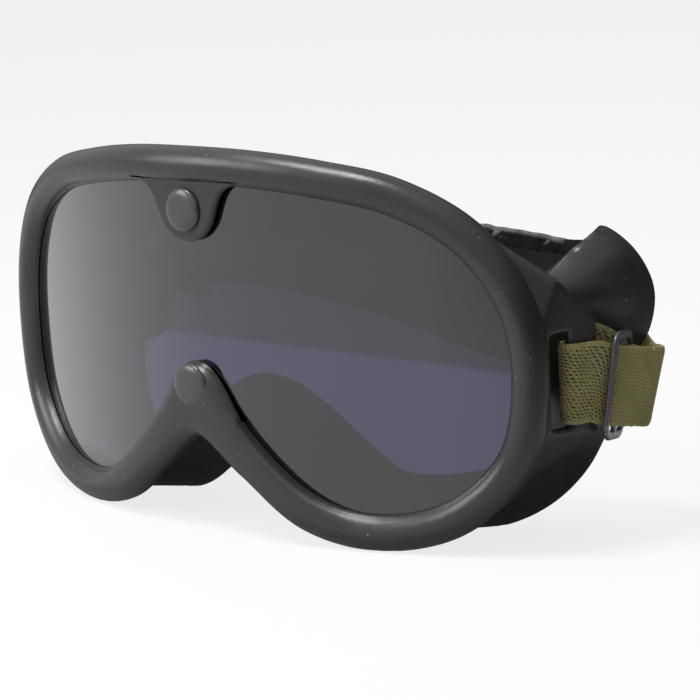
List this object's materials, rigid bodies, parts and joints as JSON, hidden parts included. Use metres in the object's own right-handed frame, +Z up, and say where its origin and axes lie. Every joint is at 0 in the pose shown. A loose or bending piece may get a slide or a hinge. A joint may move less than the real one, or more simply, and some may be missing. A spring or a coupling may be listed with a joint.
{
  "type": "sun wind dust goggles",
  "caption": "Wide one-lens goggles with a moulded rubber frame, two snap tabs that hold the tinted lens, and an elastic webbing strap on ladder slides.",
  "frame": {"origin": "middle of the overall box in X and Y, at the surface that the goggles stand on", "axes": "+X towards the wearer's left side, -Y the way the goggles look, +Z up towards the brow"},
  "size_m": [0.1937, 0.0712, 0.095],
  "materials": {
    "moulded_rubber": "satin grey-black moulded rubber",
    "tinted_lens": "glossy grey-violet tinted flexible plastic, see-through",
    "black_metal": "blackened brass with a soft sheen",
    "spring_wire": "bare spring wire",
    "slide_metal": "dark grey lacquered metal, worn",
    "felt": "grey felt",
    "olive_webbing": "olive ribbed elastic webbing"
  },
  "bodies": {
    "frame": {"rubber_frame": "moulded_rubber", "lens": "tinted_lens", "snap_sockets": "black_metal", "snap_springs": "spring_wire", "snap_eyelets": "black_metal", "brow_filter_left": "felt", "brow_filter_right": "felt", "cheek_filter_left": "felt", "cheek_filter_right": "felt", "elastic_strap": "olive_webbing"},
    "top_tab": {"top_tab": "moulded_rubber", "top_snap_cap": "black_metal", "top_snap_stud": "black_metal"},
    "nose_tab": {"nose_tab": "moulded_rubber", "nose_snap_cap": "black_metal", "nose_snap_stud": "black_metal"},
    "left_slide": {"slide_left": "slide_metal", "strap_end_left": "olive_webbing"},
    "right_slide": {"slide_right": "slide_metal", "strap_end_right": "olive_webbing"}
  },
  "joints": [
    {"name": "top_tab_hinge", "type": "hinge", "parent": "frame", "child": "top_tab", "pos_m": [0, -0.03233, 0.085], "axis": [-1, 0, 0], "range_deg": [0, 60], "stiffness_Nm_per_rad": 0.01},
    {"name": "nose_tab_hinge", "type": "hinge", "parent": "frame", "child": "nose_tab", "pos_m": [0, -0.03273, 0.0297], "axis": [1, 0, 0], "range_deg": [0, 70], "stiffness_Nm_per_rad": 0.01},
    {"name": "left_slide_travel", "type": "slide", "parent": "frame", "child": "left_slide", "axis": [0.2549, 0.9513, -0.1736], "range_m": [0, 0.003]},
    {"name": "right_slide_travel", "type": "slide", "parent": "frame", "child": "right_slide", "axis": [0.8794, -0.4101, 0.2419], "range_m": [0, 0.003]}
  ]
}
